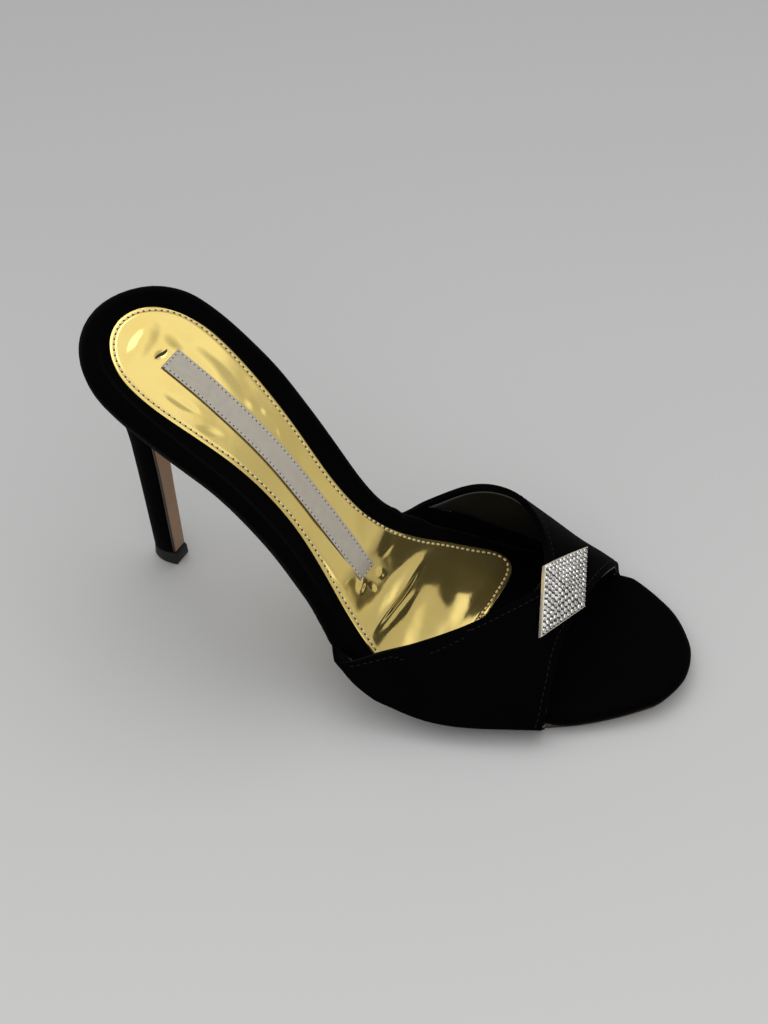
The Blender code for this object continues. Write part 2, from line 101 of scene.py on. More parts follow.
def rounded(bm, levels):
    """The same shape drawn smooth by subdivision."""
    mesh = bpy.data.meshes.new("rough")
    bm.to_mesh(mesh)
    bm.free()
    holder = bpy.data.objects.new("rough", mesh)
    bpy.context.collection.objects.link(holder)
    smooth = holder.modifiers.new("smooth", "SUBSURF")
    smooth.levels = smooth.render_levels = levels
    shown = holder.evaluated_get(bpy.context.evaluated_depsgraph_get())
    smooth_bm = bmesh.new()
    smooth_bm.from_mesh(shown.to_mesh())
    shown.to_mesh_clear()
    bpy.data.objects.remove(holder)
    bpy.data.meshes.remove(mesh)
    return smooth_bm


def finer(bm):
    """The same shape with every face cut in four, so that rounding keeps its size."""
    bmesh.ops.subdivide_edges(bm, edges=bm.edges[:], cuts=1, use_grid_fill=True)
    return bm


def grown(bm, pile):
    """The same shape, its skin lying further out by a pile in millimetres."""
    bm.normal_update()
    for v in bm.verts:
        v.co += v.normal * pile * MM
    return bm


def padded(bm, pads):
    """The same shape, filled out round some places by soft pads, in millimetres."""
    for v in bm.verts:
        here = last_of(v.co)
        for middle, reach, push in pads:
            away = [(a - b) / c for a, b, c in zip(here, middle, reach)]
            v.co += TURN @ Vector(push) * MM * bell(math.hypot(*away))
    return bm


def piece(name, bm, finishes, stands_for=(), crease=180, wall=0.0):
    """A finished piece of the shoe, riding on it, with a crease where faces meet sharply.

    A sheet is given its wall, in millimetres, on its hidden side.
    """
    mesh = bpy.data.meshes.new(name)
    bm.to_mesh(mesh)
    bm.free()
    mesh.shade_smooth()
    mesh.set_sharp_from_angle(angle=math.radians(crease))
    for finish in finishes:
        mesh.materials.append(finish)
    made = bpy.data.objects.new(name, mesh)
    bpy.context.collection.objects.link(made)
    if wall:
        solid = made.modifiers.new("wall", "SOLIDIFY")
        solid.thickness, solid.offset = wall * MM, -1
        solid.material_offset_rim = len(finishes) - 1
    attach(made, "root")
    if stands_for:
        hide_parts(*stands_for)


class Wire:
    """A shader socket that takes part in sums; each sum adds its Math node."""

    def __init__(self, tree, socket=None):
        self.tree = tree
        self.socket = socket

    def node(self, kind, settings, sockets, output=0):
        """Another node: its settings first, then the values or links of its sockets."""
        made = self.tree.nodes.new("ShaderNode" + kind)
        for key, value in settings.items():
            if key == "stops":
                for place, colour in value[1:-1]:
                    made.color_ramp.elements.new(place)
                for element, (place, colour) in zip(made.color_ramp.elements, value):
                    element.color = (*colour, 1)
            else:
                setattr(made, key, value)
        for key, value in sockets.items():
            if isinstance(value, Wire):
                self.tree.links.new(value.socket, made.inputs[key])
            else:
                made.inputs[key].default_value = value
        return Wire(self.tree, made.outputs[output])

    def sum(self, operation, first, second):
        """A Math node on two values."""
        return self.node("Math", {"operation": operation}, {0: first, 1: second})

    def __add__(self, other):
        return self.sum("ADD", self, other)

    def __radd__(self, other):
        return self.sum("ADD", other, self)

    def __sub__(self, other):
        return self.sum("SUBTRACT", self, other)

    def __rsub__(self, other):
        return self.sum("SUBTRACT", other, self)

    def __mul__(self, other):
        return self.sum("MULTIPLY", self, other)

    def __rmul__(self, other):
        return self.sum("MULTIPLY", other, self)

    def blend(self, dark, light):
        """A colour between two, by this value."""
        return self.node("Mix", {"data_type": "RGBA"}, {0: self, 6: dark, 7: light}, output=2)

    def relief(self, depth, strength=1.0):
        """A bump from this value, up to a depth in millimetres."""
        return self.node("Bump", {}, {"Strength": strength, "Distance": depth * MM,
                                      "Height": self})


def new_finish(name, colour, roughness, metallic=0.0, **steady):
    """A finish with its steady values on the shader, and a wire at its coordinates."""
    finish = bpy.data.materials.new(name)
    finish.use_nodes = True
    tree = finish.node_tree
    shader = tree.nodes["Principled BSDF"]
    shader.inputs["Base Color"].default_value = (*colour, 1)
    shader.inputs["Roughness"].default_value = roughness
    shader.inputs["Metallic"].default_value = metallic
    for key, value in steady.items():
        shader.inputs[key.replace("_", " ")].default_value = value
    return finish, Wire(tree).node("TexCoord", {}, {}, output=3)


def feed(finish, **wires):
    """Link wires to the shader of a finish."""
    shader = finish.node_tree.nodes["Principled BSDF"]
    for key, wire in wires.items():
        finish.node_tree.links.new(wire.socket, shader.inputs[key.replace("_", " ")])


def cloud(at, grain, detail=2.0, roughness=0.5):
    """Soft irregular values with a grain in millimetres."""
    return at.node("TexNoise", {}, {"Vector": at, "Scale": 1 / (grain * MM), "Detail": detail,
                                    "Roughness": roughness})


BLACK_PILE = (0.0004, 0.0004, 0.00045, 1)
BRUSHED_PILE = (0.0018, 0.0018, 0.0019, 1)

velvet, at = new_finish("black_velvet", BLACK_PILE[:3], 0.95, Sheen_Weight=0.03,
                        Sheen_Roughness=0.3, Specular_IOR_Level=0.02)
brushed = cloud(at, 16.0, 3.0)
tufts = cloud(at, 0.55, 3.0, 0.7)
feed(velvet, Base_Color=(brushed * 0.5 + tufts * 0.5).blend(BLACK_PILE, BRUSHED_PILE),
     Normal=tufts.relief(0.35, 0.8))

# The padding is fuller at the outer side of the ball, at both ends of the straps and at
# the inner side of the heel: the middle, reach and push of each pad, along, across and up.
BALL_PAD = ((82, -26, 18), (26, 20, 24), (0, -2.2, -0.2))
OUTER_END_PAD = ((77, -20, 22), (9, 12, 12), (0, -3.2, 0))
INNER_END_PAD = ((74, 32, 28), (11, 12, 12), (0, 2.0, 0))
HEEL_PAD = ((-6, 30, 110), (34, 26, 30), (0, 1.1, 0.9))
BOARD_PILE = 0.4                    # the velvet stands this far out from the board

board = padded(rounded(finer(merged("footbed")), 1),
               (BALL_PAD, OUTER_END_PAD, INNER_END_PAD, HEEL_PAD))
piece("velvet_board", grown(board, BOARD_PILE), [velvet], ["footbed"])


# ================================================================ leather outsole
# Tan sole leather, 1.7 mm, cut to the last and skived thinner where it turns down to
# cover the heel's flat front. Its cut edge is rubbed smooth and inked dark brown.

CORNER = math.radians(50)           # edges sharper than this are rounded off
ONE_SIDE = math.radians(35)         # faces that meet at less than this are one side


def regions(bm, angle):
    """Groups of faces that meet at less than an angle, the largest first."""
    for face in bm.faces:
        face.tag = False
    groups = []
    for seed in bm.faces:
        if seed.tag:
            continue
        seed.tag = True
        group = [seed]
        for face in group:
            for edge in face.edges:
                if len(edge.link_faces) == 2 and edge.calc_face_angle() < angle:
                    for other in edge.link_faces:
                        if not other.tag:
                            other.tag = True
                            group.append(other)
        groups.append(group)
    return sorted(groups, key=lambda group: -sum(face.calc_area() for face in group))


def soften(bm, radius, segments, angle=CORNER):
    """Round the edges that are sharper than an angle, by a radius in millimetres."""
    sharp = [edge for edge in bm.edges if edge.calc_face_angle(0) > angle]
    bmesh.ops.bevel(bm, geom=sharp, offset=radius * MM, offset_type="OFFSET",
                    segments=segments, profile=0.5, affect="EDGES", material=-1,
                    clamp_overlap=True)


def edge_finished(bm):
    """Give the cut edge, between the two largest sides, the piece's second finish."""
    for group in regions(bm, ONE_SIDE)[2:]:
        for side in group:
            side.material_index = 1


tan_leather, at = new_finish("tan_sole_leather", (0.34, 0.21, 0.12), 0.5,
                             Specular_IOR_Level=0.4)
mottle = cloud(at, 9.0, 4.0)
pores = cloud(at, 0.5, 2.0, 0.6)
feed(tan_leather, Base_Color=(mottle * 0.7 + pores * 0.3).blend((0.26, 0.155, 0.085, 1),
                                                               (0.42, 0.27, 0.16, 1)),
     Roughness=0.42 + 0.2 * mottle, Normal=pores.relief(0.05, 0.5))
edge_ink, at = new_finish("dark_edge_ink", (0.035, 0.022, 0.018), 0.45)
feed(edge_ink, Roughness=0.35 + 0.3 * cloud(at, 1.5))

sole = merged("outsole")
soften(sole, 0.25, 1)
edge_finished(sole)
piece("leather_outsole", sole, [tan_leather, edge_ink], ["outsole"], crease=40)


# ================================================================ covered heel
# A slim moulded heel, glued and screwed under the seat, its sides and back covered in the
# same velvet, whose edges are turned under the leather of the flat front.

heel = merged("heel")
soften(heel, 0.35, 2)
piece("velvet_heel", heel, [velvet], ["heel"], crease=60)


# ================================================================ top lift
# A hard rubber lift, nailed to the tip of the heel: black, ground flat at the sides.

lift_rubber, at = new_finish("lift_rubber", (0.009, 0.009, 0.009), 0.6,
                              Specular_IOR_Level=0.25)
# The grinding wheel leaves fine level lines.
grinding = cloud(at.node("Mapping", {}, {"Vector": at, "Scale": (0.9, 0.9, 5.0)}), 1.0)
feed(lift_rubber, Base_Color=grinding.blend((0.006, 0.006, 0.006, 1),
                                           (0.016, 0.016, 0.015, 1)),
     Roughness=0.45 + 0.3 * grinding, Normal=grinding.relief(0.04, 0.6))

lift = merged("top_lift")
soften(lift, 0.2, 2)
piece("top_lift_rubber", lift, [lift_rubber], ["top_lift"], crease=40)


# ================================================================ gold sock
# Mirror-finished gold leather, 0.8 mm, glued to the board inside a line of stitches. It
# has puckered into one large fold and a small one where the sole bends under the ball.

LIE = (
    # along, height over the flat sock
    (60.0, 0.0),
    (73.0, 1.6),
    (82.8, 0.25),
    (86.6, 0.4),
    (91.6, -0.25),
    (97.0, 0.15),
    (103.5, 0.45),
    (109.0, -0.6),
)
LIE_LEAN = 0.03                     # the steps of the lie run a little askew,
LIE_SOFTENING = (-1.2, -0.6, 0.0, 0.6, 1.2)     # and are averaged over these places
FOLD_ENDS = 0.4                     # a fold narrows to this share at its ends
FOLDS = (
    # along, lean, middle across, half length, width behind and in front, height
    (86.6, -0.03, 7.0, 20.8, 4.4, 1.2, 1.15),
    (84.9, -0.16, 2.5, 6.5, 0.7, 0.6, -0.12),
    (89.4, 0.03, 1.5, 14.0, 1.3, 2.0, 0.20),
    (96.5, -0.22, 8.0, 30.0, 6.0, 9.0, 0.40),
    (70.5, -0.20, 15.0, 11.0, 6.0, 7.0, 0.55),
    (77.1, 0.00, 13.0, 5.5, 0.5, 0.5, -0.20),
    (79.6, 0.00, 5.6, 2.3, 1.5, 0.8, 0.36),
    (77.6, -0.19, -4.0, 3.6, 1.8, 0.9, 0.42),
    (1.3, 0.07, 0.6, 3.8, 1.5, 1.5, -0.45),
)
DENTS = (
    # along, across, half length, half width, turn, depth
    (15.2, -9.2, 6.4, 2.1, 0.27, 0.34),
    (26.0, -10.0, 4.6, 2.0, 0.60, 0.26),
    (2.5, 9.5, 5.5, 4.2, 0.80, 0.34),
    (-5.0, -1.0, 4.0, 12.0, 0.1, -0.40),
    (15.0, 9.0, 12.0, 4.6, -0.10, -0.34),
    (30.2, 8.8, 2.6, 2.4, 0.0, -0.20),
    (34.2, 10.7, 1.9, 1.8, 0.0, -0.18),
    (40.8, 8.6, 3.6, 1.3, -0.75, -0.15),
    (47.9, 7.9, 1.8, 1.5, 0.0, -0.08),
    (70.2, 9.8, 2.6, 2.2, 0.0, -0.12),
    (79.8, -0.6, 1.2, 1.2, 0.0, 0.20),
    (99.0, 30.0, 9.0, 5.0, 0.9, 0.25),
)
RIPPLES = (
    # height, grain
    (0.21, 13.0),
    (0.05, 6.0),
    (0.012, 2.4),
)
LOOSE_FROM = 2.6                    # the leather lies freely this far inside its edge
EDGE_ROLL = 0.35                    # and its cut edge is pressed down
GROOVE_AT, GROOVE_HALF, GROOVE_DEPTH = 1.4, 0.8, 0.22   # the stitches draw it in here
SOCK_SIDE = math.radians(25)        # its upper side meets its bevelled edge at more
SOCK_REACH = 0.2                    # the leather is cut this much wider than the solid


def face_group(node, angle, facing=1):
    """The side of a CAD piece that faces up, or down for -1, as a sheet of its own."""
    bm = merged(node)
    kept = set(max(regions(bm, angle), key=lambda group: facing * sum(
        face.normal.z * face.calc_area() for face in group)))
    bmesh.ops.delete(bm, geom=[face for face in bm.faces if face not in kept],
                     context="FACES")
    return bm


def lie(along):
    """Height at which the leather lies on its padding, at a place along the sock."""
    rise = LIE[0][1]
    for (start, low), (end, high) in zip(LIE, LIE[1:]):
        rise += (high - low) * min(max((along - start) / (end - start), 0), 1)
    return rise


def pucker(along, across):
    """Height of the folds and dents over the flat sock."""
    rise = sum(lie(along - LIE_LEAN * across + off) for off in LIE_SOFTENING)
    rise /= len(LIE_SOFTENING)
    for place, lean, middle, length, behind, in_front, tall in FOLDS:
        aside = across - middle
        share = bell(aside / length)
        ahead = along - place - lean * aside
        wide = (behind if ahead < 0 else in_front) * (FOLD_ENDS + (1 - FOLD_ENDS) * share)
        rise += tall * share * bell(ahead / wide)
    for place, middle, length, width, turn, deep in DENTS:
        ahead, side = along - place, across - middle
        run = ahead * math.cos(turn) + side * math.sin(turn)
        off = side * math.cos(turn) - ahead * math.sin(turn)
        rise -= deep * bell(math.hypot(run / length, off / width))
    return rise


def ripple(point):
    """Gentle unevenness of the glued leather."""
    return sum(tall * noise.noise(point / (grain * MM)) for tall, grain in RIPPLES)


def widened(bm, reach):
    """The same sheet, its border moved outward by a reach in millimetres."""
    away = {}
    for edge in bm.edges:
        if edge.is_boundary:
            line = (edge.verts[1].co - edge.verts[0].co).normalized()
            out = sum((v.co for v in edge.verts), Vector()) / 2
            out -= edge.link_faces[0].calc_center_median()
            out = (out - line * out.dot(line)).normalized()
            for v in edge.verts:
                away[v] = away.get(v, Vector()) + out
    for v, out in away.items():
        v.co += out.normalized() * reach * MM
    return bm


def loosened(bm):
    """Move the sock's points by its folds, with its edge rolled down and its seam drawn in."""
    rim = [v.co.copy() for v in bm.verts if v.is_boundary]
    tree = KDTree(len(rim))
    for i, place in enumerate(rim):
        tree.insert(place, i)
    tree.balance()
    for v in bm.verts:
        away = tree.find(v.co)[2] / MM
        inside = min(away / LOOSE_FROM, 1)
        soft = inside * inside * (3 - 2 * inside)
        along, across, up = last_of(v.co)
        v.co += v.normal * MM * (soft * (pucker(along, across) + ripple(v.co))
                                 - EDGE_ROLL * (1 - soft) ** 3
                                 - GROOVE_DEPTH * bell((away - GROOVE_AT) / GROOVE_HALF))
    return bm


gold, at = new_finish("mirror_gold_leather", (0.90, 0.70, 0.23), 0.1, 0.9)
skin_grain = cloud(at, 0.45, 2.0, 0.6)
haze = cloud(at, 12.0, 3.0)
feed(gold, Base_Color=haze.blend((0.86, 0.64, 0.19, 1), (0.94, 0.75, 0.27, 1)),
     Roughness=0.05 + 0.05 * haze + 0.05 * skin_grain, Normal=skin_grain.relief(0.012, 0.6))

sock = widened(face_group("sock", SOCK_SIDE), SOCK_REACH)
ribs = [edge for edge in sock.edges if not edge.is_boundary]
bmesh.ops.subdivide_edges(sock, edges=ribs, cuts=20, use_grid_fill=True)
sock = loosened(rounded(sock, 2))
sock_surface = BVHTree.FromBMesh(sock)
piece("gold_sock", sock, [gold], ["sock"], wall=0.6)


# ================================================================ stitches of the sock
# A lockstitch of fine gold thread, 2.1 mm a stitch, runs all round 1.2 mm inside the
# sock's edge; between its stitches the needle's holes are dark ovals of painted shade.

def seam_line(bm, inset):
    """Points in order along a line at a distance inside a face group's border."""
    made = bmesh.ops.inset_region(bm, faces=bm.faces[:], thickness=inset * MM,
                                  use_boundary=True, use_even_offset=True)
    border = set(made["faces"])
    beside = {}
    for edge in bm.edges:
        if sum(face in border for face in edge.link_faces) == 1 and not edge.is_boundary:
            for one, two in (edge.verts, reversed(edge.verts)):
                beside.setdefault(one, []).append(two)
    line = [next(iter(beside))]
    while True:
        ahead = [v for v in beside[line[-1]] if v not in line[-2:]]
        if not ahead or ahead[0] is line[0]:
            break
        line.append(ahead[0])
    points = [v.co.copy() for v in line]
    bm.free()
    return points + points[:1]


def stepped(points, pitch):
    """Places and directions at an even pitch along a line of points."""
    lengths = [0.0]
    for one, two in zip(points, points[1:]):
        lengths.append(lengths[-1] + (two - one).length)
    count = round(lengths[-1] / (pitch * MM))
    i = 0
    for k in range(count):
        reach = lengths[-1] * (k + 0.5) / count
        while lengths[i + 1] < reach:
            i += 1
        share = (reach - lengths[i]) / (lengths[i + 1] - lengths[i])
        yield points[i].lerp(points[i + 1], share), (points[i + 1] - points[i]).normalized()


def grain_on(bm, surface, place, ahead, size, lift):
    """A small oval grain, such as a stitch, lying on a surface along a direction."""
    near, normal = surface.find_nearest(place)[:2]
    side = normal.cross(ahead).normalized()
    ahead = side.cross(normal)
    turn = Matrix((ahead, side, normal)).transposed().to_4x4()
    scale = Matrix.Diagonal([length * MM for length in size] + [1])
    bmesh.ops.create_uvsphere(
        bm, u_segments=8, v_segments=5, radius=0.5,
        matrix=Matrix.Translation(near + normal * lift * MM) @ turn @ scale)


def sewn(surface, line, pitch, stitch, rise, hole):
    """Stitches along a line on a surface, and dark ovals of painted shade for the needle's
    holes halfway between them.
    """
    stitches, holes = bmesh.new(), bmesh.new()
    for place, ahead in stepped(line, pitch):
        grain_on(stitches, surface, place, ahead, stitch, rise)
        grain_on(holes, surface, place + ahead * pitch / 2 * MM, ahead, hole, 0.0)
    return stitches, holes


gold_thread, at = new_finish("gold_thread", (0.84, 0.70, 0.40), 0.4, 0.3)
twist = cloud(at, 1 / 3, 1.0)
feed(gold_thread, Base_Color=twist.blend((0.70, 0.55, 0.26, 1), (0.97, 0.87, 0.58, 1)),
     Normal=twist.relief(0.04, 0.5))
# Painted shade: the needle's holes are dark ovals, coloured for the shade inside them.
needle_hole_painted_shade, at = new_finish("needle_hole", (0.02, 0.014, 0.006), 0.8)
feed(needle_hole_painted_shade, Base_Color=cloud(at, 0.3).blend((0.01, 0.007, 0.003, 1),
                                                  (0.05, 0.035, 0.012, 1)))

stitches, holes = sewn(sock_surface, seam_line(face_group("sock", SOCK_SIDE), inset=1.2),
                       pitch=2.1, stitch=(1.5, 0.76, 0.6), rise=0.12, hole=(0.7, 0.85, 0.4))

# Behind the label the leather is nicked across: a bent slit, widest in its middle, its inside
# a dark sheet of painted shade.
NICK_AT = (1.2, 0.7, 99.8)          # along, across and up
NICK_REACH, NICK_OPEN, NICK_TIP = 2.9, 0.5, 0.02    # half its length, and half widths
NICK_LEAN, NICK_BEND, NICK_WAVE = 0.07, 0.35, 2.4
NICK_RISE, NICK_SAG = 0.22, 0.12    # its painted-shade floor lies higher in its middle line
for v in bmesh.ops.create_grid(holes, x_segments=16, y_segments=4, size=1.0)["verts"]:
    half_width = NICK_OPEN * (1 - v.co.x ** 2) ** 0.5 + NICK_TIP
    across = NICK_AT[1] + NICK_REACH * v.co.x
    bend = NICK_LEAN * across + NICK_BEND * math.sin(NICK_WAVE * v.co.x)
    place = on_last(NICK_AT[0] + bend - half_width * v.co.y, across, NICK_AT[2])
    near, normal = sock_surface.find_nearest(place)[:2]
    v.co = near + normal * (NICK_RISE - NICK_SAG * v.co.y ** 2) * MM
piece("sock_stitches", stitches, [gold_thread])
piece("sock_needle_holes", holes, [needle_hole_painted_shade])


# ================================================================ label patch
# A strip of closely woven beige cloth, left plain, sewn down all round onto the sock by
# a fine thread of its own colour; its cut edge is painted near black as shade.

LABEL_SUNK = 0.25                   # the strip is pressed this far into the soft leather

label_cloth, at = new_finish("label_weave", (0.50, 0.45, 0.37), 0.85)
turned = at.node("Mapping", {"vector_type": "TEXTURE"},
                 {"Vector": at, "Rotation": (0, 0, LAST_TURN)})
weft, warp = [at.node("TexWave", {"bands_direction": way},
                      {"Vector": turned, "Scale": 620.0, "Distortion": 0.4})
              for way in "XY"]
weave = weft * warp
tint = cloud(at, 2.5, 3.0)
feed(label_cloth, Base_Color=(weave * 0.45 + tint * 0.55).blend((0.38, 0.34, 0.28, 1),
                                                                (0.60, 0.55, 0.47, 1)),
     Normal=weave.relief(0.06, 0.7))
# Painted shade: the label's cut edge is coloured near black for the shadow line along it.
edge_painted_shade, at = new_finish("label_cut_edge", (0.02, 0.016, 0.012), 0.8)
feed(edge_painted_shade, Base_Color=cloud(at, 0.5).blend((0.012, 0.009, 0.007, 1),
                                               (0.04, 0.032, 0.024, 1)))


def laid(bm):
    """The same shape, lying down into the sock's folds and dents."""
    for v in bm.verts:
        along, across, up = last_of(v.co)
        v.co.z += (pucker(along, across) + ripple(v.co) - LABEL_SUNK) * MM
    return bm


label = laid(merged("label_patch"))
edge_finished(label)
soften(label, 0.12, 1)
piece("label_cloth_patch", label, [label_cloth, edge_painted_shade], ["label_patch"],
      crease=40)

label_surface = BVHTree.FromBMesh(laid(face_group("label_patch", ONE_SIDE)))
label_line = seam_line(face_group("label_patch", ONE_SIDE), inset=0.9)
# The needle's holes between these stitches are dark ovals of painted shade.
stitches, holes = sewn(label_surface, label_line, pitch=1.7, stitch=(1.25, 0.34, 0.22),
                       rise=0.02, hole=(0.55, 0.5, 0.24))
label_thread, at = new_finish("label_thread", (0.66, 0.62, 0.56), 0.7)
feed(label_thread, Base_Color=cloud(at, 0.4).blend((0.56, 0.52, 0.46, 1),
                                                   (0.74, 0.70, 0.64, 1)))
piece("label_stitches", stitches, [label_thread])
piece("label_needle_holes", holes, [needle_hole_painted_shade])


# ================================================================ crossed straps
# Two wide velvet straps over a stiffener, joined where they cross. The velvet is folded
# round every free edge, and its turned edge is covered inside by the lining.

STRAP_PILE = 0.2
REAR_TIP_TUCK = ((74.5, -24, 25), (6, 6, 8), (0.9, 1.5, 0))     # in against the board

straps = merged("upper")
soften(straps, 0.8, 3)
straps = padded(grown(rounded(straps, 2), STRAP_PILE), (BALL_PAD, REAR_TIP_TUCK))
piece("velvet_straps", straps, [velvet], ["upper"])


# ================================================================ strap lining
# Thin black kid leather inside both straps, cut 1.6 mm short of the folded velvet and
# stitched 2 mm inside its edge; the raw edge shows as a fine grey line.

LINING_INSET = 1.6
LINING_PROUD = 0.45                 # it lies this far in from the solid's inner side
ROWS_AT_SOLE = 4                    # rows of the straps' cells hidden beside the sole
SOLE_CELL = 4.5                     # a border edge of those cells is longer than this


def strap_side(facing):
    """The straps' outer side, or inner for -1, without the rows of cells at the sole."""
    bm = face_group("upper", CORNER, facing)
    for row in range(ROWS_AT_SOLE):
        ends = {face for edge in bm.edges
                if edge.is_boundary and edge.calc_length() > SOLE_CELL * MM
                for face in edge.link_faces}
        bmesh.ops.delete(bm, geom=list(ends), context="FACES")
    return bm


lining_leather, at = new_finish("black_lining_leather", (0.006, 0.006, 0.006), 0.45,
                                Specular_IOR_Level=0.35)
kid = cloud(at, 0.6, 3.0, 0.6)
feed(lining_leather, Base_Color=kid.blend((0.004, 0.004, 0.004, 1), (0.012, 0.011, 0.010, 1)),
     Roughness=0.36 + 0.16 * cloud(at, 10.0, 2.0), Normal=kid.relief(0.05, 0.5))
raw_edge, at = new_finish("raw_leather_edge", (0.09, 0.09, 0.09), 0.6)
feed(raw_edge, Base_Color=cloud(at, 0.6).blend((0.06, 0.06, 0.06, 1), (0.13, 0.13, 0.13, 1)))

lining = strap_side(-1)
made = bmesh.ops.inset_region(lining, faces=lining.faces[:], thickness=LINING_INSET * MM,
                              use_boundary=True, use_even_offset=True)
bmesh.ops.delete(lining, geom=made["faces"], context="FACES")
lining = padded(grown(rounded(lining, 2), LINING_PROUD), (BALL_PAD,))
lining_surface = BVHTree.FromBMesh(lining)
piece("strap_lining", lining, [lining_leather, raw_edge], wall=0.5)


# ================================================================ stitches of the straps
# Black thread, 2.2 mm a stitch, 2 mm inside the free edges: it sinks into the pile
# outside and lies on the lining inside.

black_thread, at = new_finish("black_thread", (0.006, 0.005, 0.005), 0.7,
                              Specular_IOR_Level=0.15)
feed(black_thread, Base_Color=cloud(at, 0.4).blend((0.004, 0.0035, 0.0035, 1),
                                                   (0.010, 0.008, 0.008, 1)))
OFF_BOARD = 6.0                     # the seam ends this far from the board,
ON_STRAP = 2.4                      # and holds nothing further than this from its strap

strap_surface = BVHTree.FromBMesh(
    padded(grown(rounded(strap_side(1), 2), STRAP_PILE), (BALL_PAD,)))
board_surface = BVHTree.FromBMesh(rounded(merged("footbed"), 1))
stitches = bmesh.new()
for facing, inset, surface in (
        (1, 2.0, strap_surface),
        (-1, 2.3, lining_surface)):
    whole_side = face_group("upper", CORNER, facing)
    for place, ahead in stepped(seam_line(whole_side, inset), 2.2):
        clear = board_surface.find_nearest(place)[3] > OFF_BOARD * MM
        if clear and surface.find_nearest(place)[3] < ON_STRAP * MM:
            grain_on(stitches, surface, place, ahead, size=(1.6, 0.36, 0.26), lift=0.02)
piece("strap_stitches", stitches, [black_thread])


# ================================================================ brooch plate
# A rhombic plate of pale gilt brass, bent over the crossing and riveted to it, with a
# raised rim round a sunk bed for the stones.

brooch_metal, at = new_finish("pale_gilt_brass", (0.74, 0.69, 0.56), 0.4, 0.7)
polish = cloud(at, 1.2, 2.0)
feed(brooch_metal, Base_Color=polish.blend((0.70, 0.64, 0.50, 1), (0.88, 0.83, 0.70, 1)),
     Roughness=0.32 + 0.16 * polish, Normal=polish.relief(0.02, 0.4))

plate = merged("brooch")
soften(plate, 0.15, 2, angle=math.radians(60))
piece("brooch_plate", plate, [brooch_metal], ["brooch"], crease=35)


# ================================================================ pave stones
# Twelve rows of twelve brilliant-cut crystals, 1.7 mm across, laid parallel to the
# edges of the plate's four slopes, each held by small beads raised at its corners.

STONE_ROWS = 12
BED = 0.97                          # reach of the stones over the plate
STONE_SIZE = 1.68
STONE_BANDS = (
    # from, up to, share of the size at each
    (-0.20, 0.12, 0.90, 1.0),
    (0.12, 0.38, 1.0, 0.62),
)
STONE_TILT = 0.09                   # the setter lays no two quite alike
BEAD_SIZE, BEAD_RISE = 0.46, 0.12
BED_RISE = 0.03

PLATE_MIDDLE = (138.2, 27.5, 35.5)
PLATE_ALONG, PLATE_ACROSS = 7.6, 20.0       # half of each diagonal
PLATE_SKEW = 2.0                    # its inner corner lies this much to the rear
PLATE_FALL = 0.83                   # it slopes down to the toe,
PLATE_RISE, PLATE_BEND = 1.5, 2.64  # is highest in the middle and bends round the foot


def on_brooch(one, two):
    """A point of the brooch's face, counted along its two edges from -1 to 1."""
    wide, deep = (one - two) / 2, (one + two) / 2
    along = PLATE_ALONG * deep - PLATE_SKEW * wide
    peak = PLATE_RISE * (1 - abs(wide) - abs(deep)) - PLATE_BEND * abs(wide)
    middle_along, middle_across, middle_up = PLATE_MIDDLE
    return on_last(middle_along + along, middle_across + PLATE_ACROSS * wide,
                   middle_up - PLATE_FALL * along + peak)


def face_up(one, two):
    """Direction square to the brooch's face at a point."""
    return (on_brooch(one + 0.05, two) - on_brooch(one - 0.05, two)).cross(
        on_brooch(one, two - 0.05) - on_brooch(one, two + 0.05)).normalized()


crystal, at = new_finish("foiled_crystal", (0.86, 0.86, 0.84), 0.06, 0.9)
# Painted glints: the stones' colour runs from dark grey to white by a noise about one stone
# across, standing in for sparkle.
painted_glint_noise = cloud(at, 0.9, 1.0)
painted_glint = painted_glint_noise.node("MapRange", {}, {0: painted_glint_noise, 1: 0.35, 2: 0.65})
feed(crystal, Base_Color=painted_glint.blend((0.34, 0.33, 0.31, 1), (1.0, 0.99, 0.96, 1)))
# Painted shade: the bed between the stones is coloured dark for the shade in the gaps.
stone_gap_painted_shade, at = new_finish("bed_painted_shade", (0.05, 0.046, 0.04), 0.5, 0.6)
feed(stone_gap_painted_shade, Base_Color=cloud(at, 0.8).blend((0.02, 0.018, 0.015, 1), (0.10, 0.09, 0.08, 1)))

random.seed(7)
stones, beads, bed = bmesh.new(), bmesh.new(), bmesh.new()
for i in range(STONE_ROWS):
    for j in range(STONE_ROWS):
        one = BED * ((2 * i + 1) / STONE_ROWS - 1)
        two = BED * ((2 * j + 1) / STONE_ROWS - 1)
        normal = face_up(one, two)
        tilt = Vector([random.uniform(-STONE_TILT, STONE_TILT) for _ in range(3)])
        turn = (normal + tilt).normalized().to_track_quat("Z", "Y").to_matrix().to_4x4()
        for foot, head, foot_share, head_share in STONE_BANDS:
            middle = on_brooch(one, two) + normal * (foot + head) / 2 * MM
            bmesh.ops.create_cone(
                stones, cap_ends=head_share < 1, segments=8,
                radius1=foot_share * STONE_SIZE / 2 * MM,
                radius2=head_share * STONE_SIZE / 2 * MM, depth=(head - foot) * MM,
                matrix=Matrix.Translation(middle) @ turn)
for i in range(STONE_ROWS + 1):
    for j in range(STONE_ROWS + 1):
        one, two = BED * (2 * i / STONE_ROWS - 1), BED * (2 * j / STONE_ROWS - 1)
        place = on_brooch(one, two) + face_up(one, two) * BEAD_RISE * MM
        bmesh.ops.create_uvsphere(beads, u_segments=6, v_segments=4, radius=BEAD_SIZE / 2 * MM,
                                  matrix=Matrix.Translation(place))
piece("pave_stones", stones, [crystal], crease=5)
piece("pave_beads", beads, [brooch_metal])

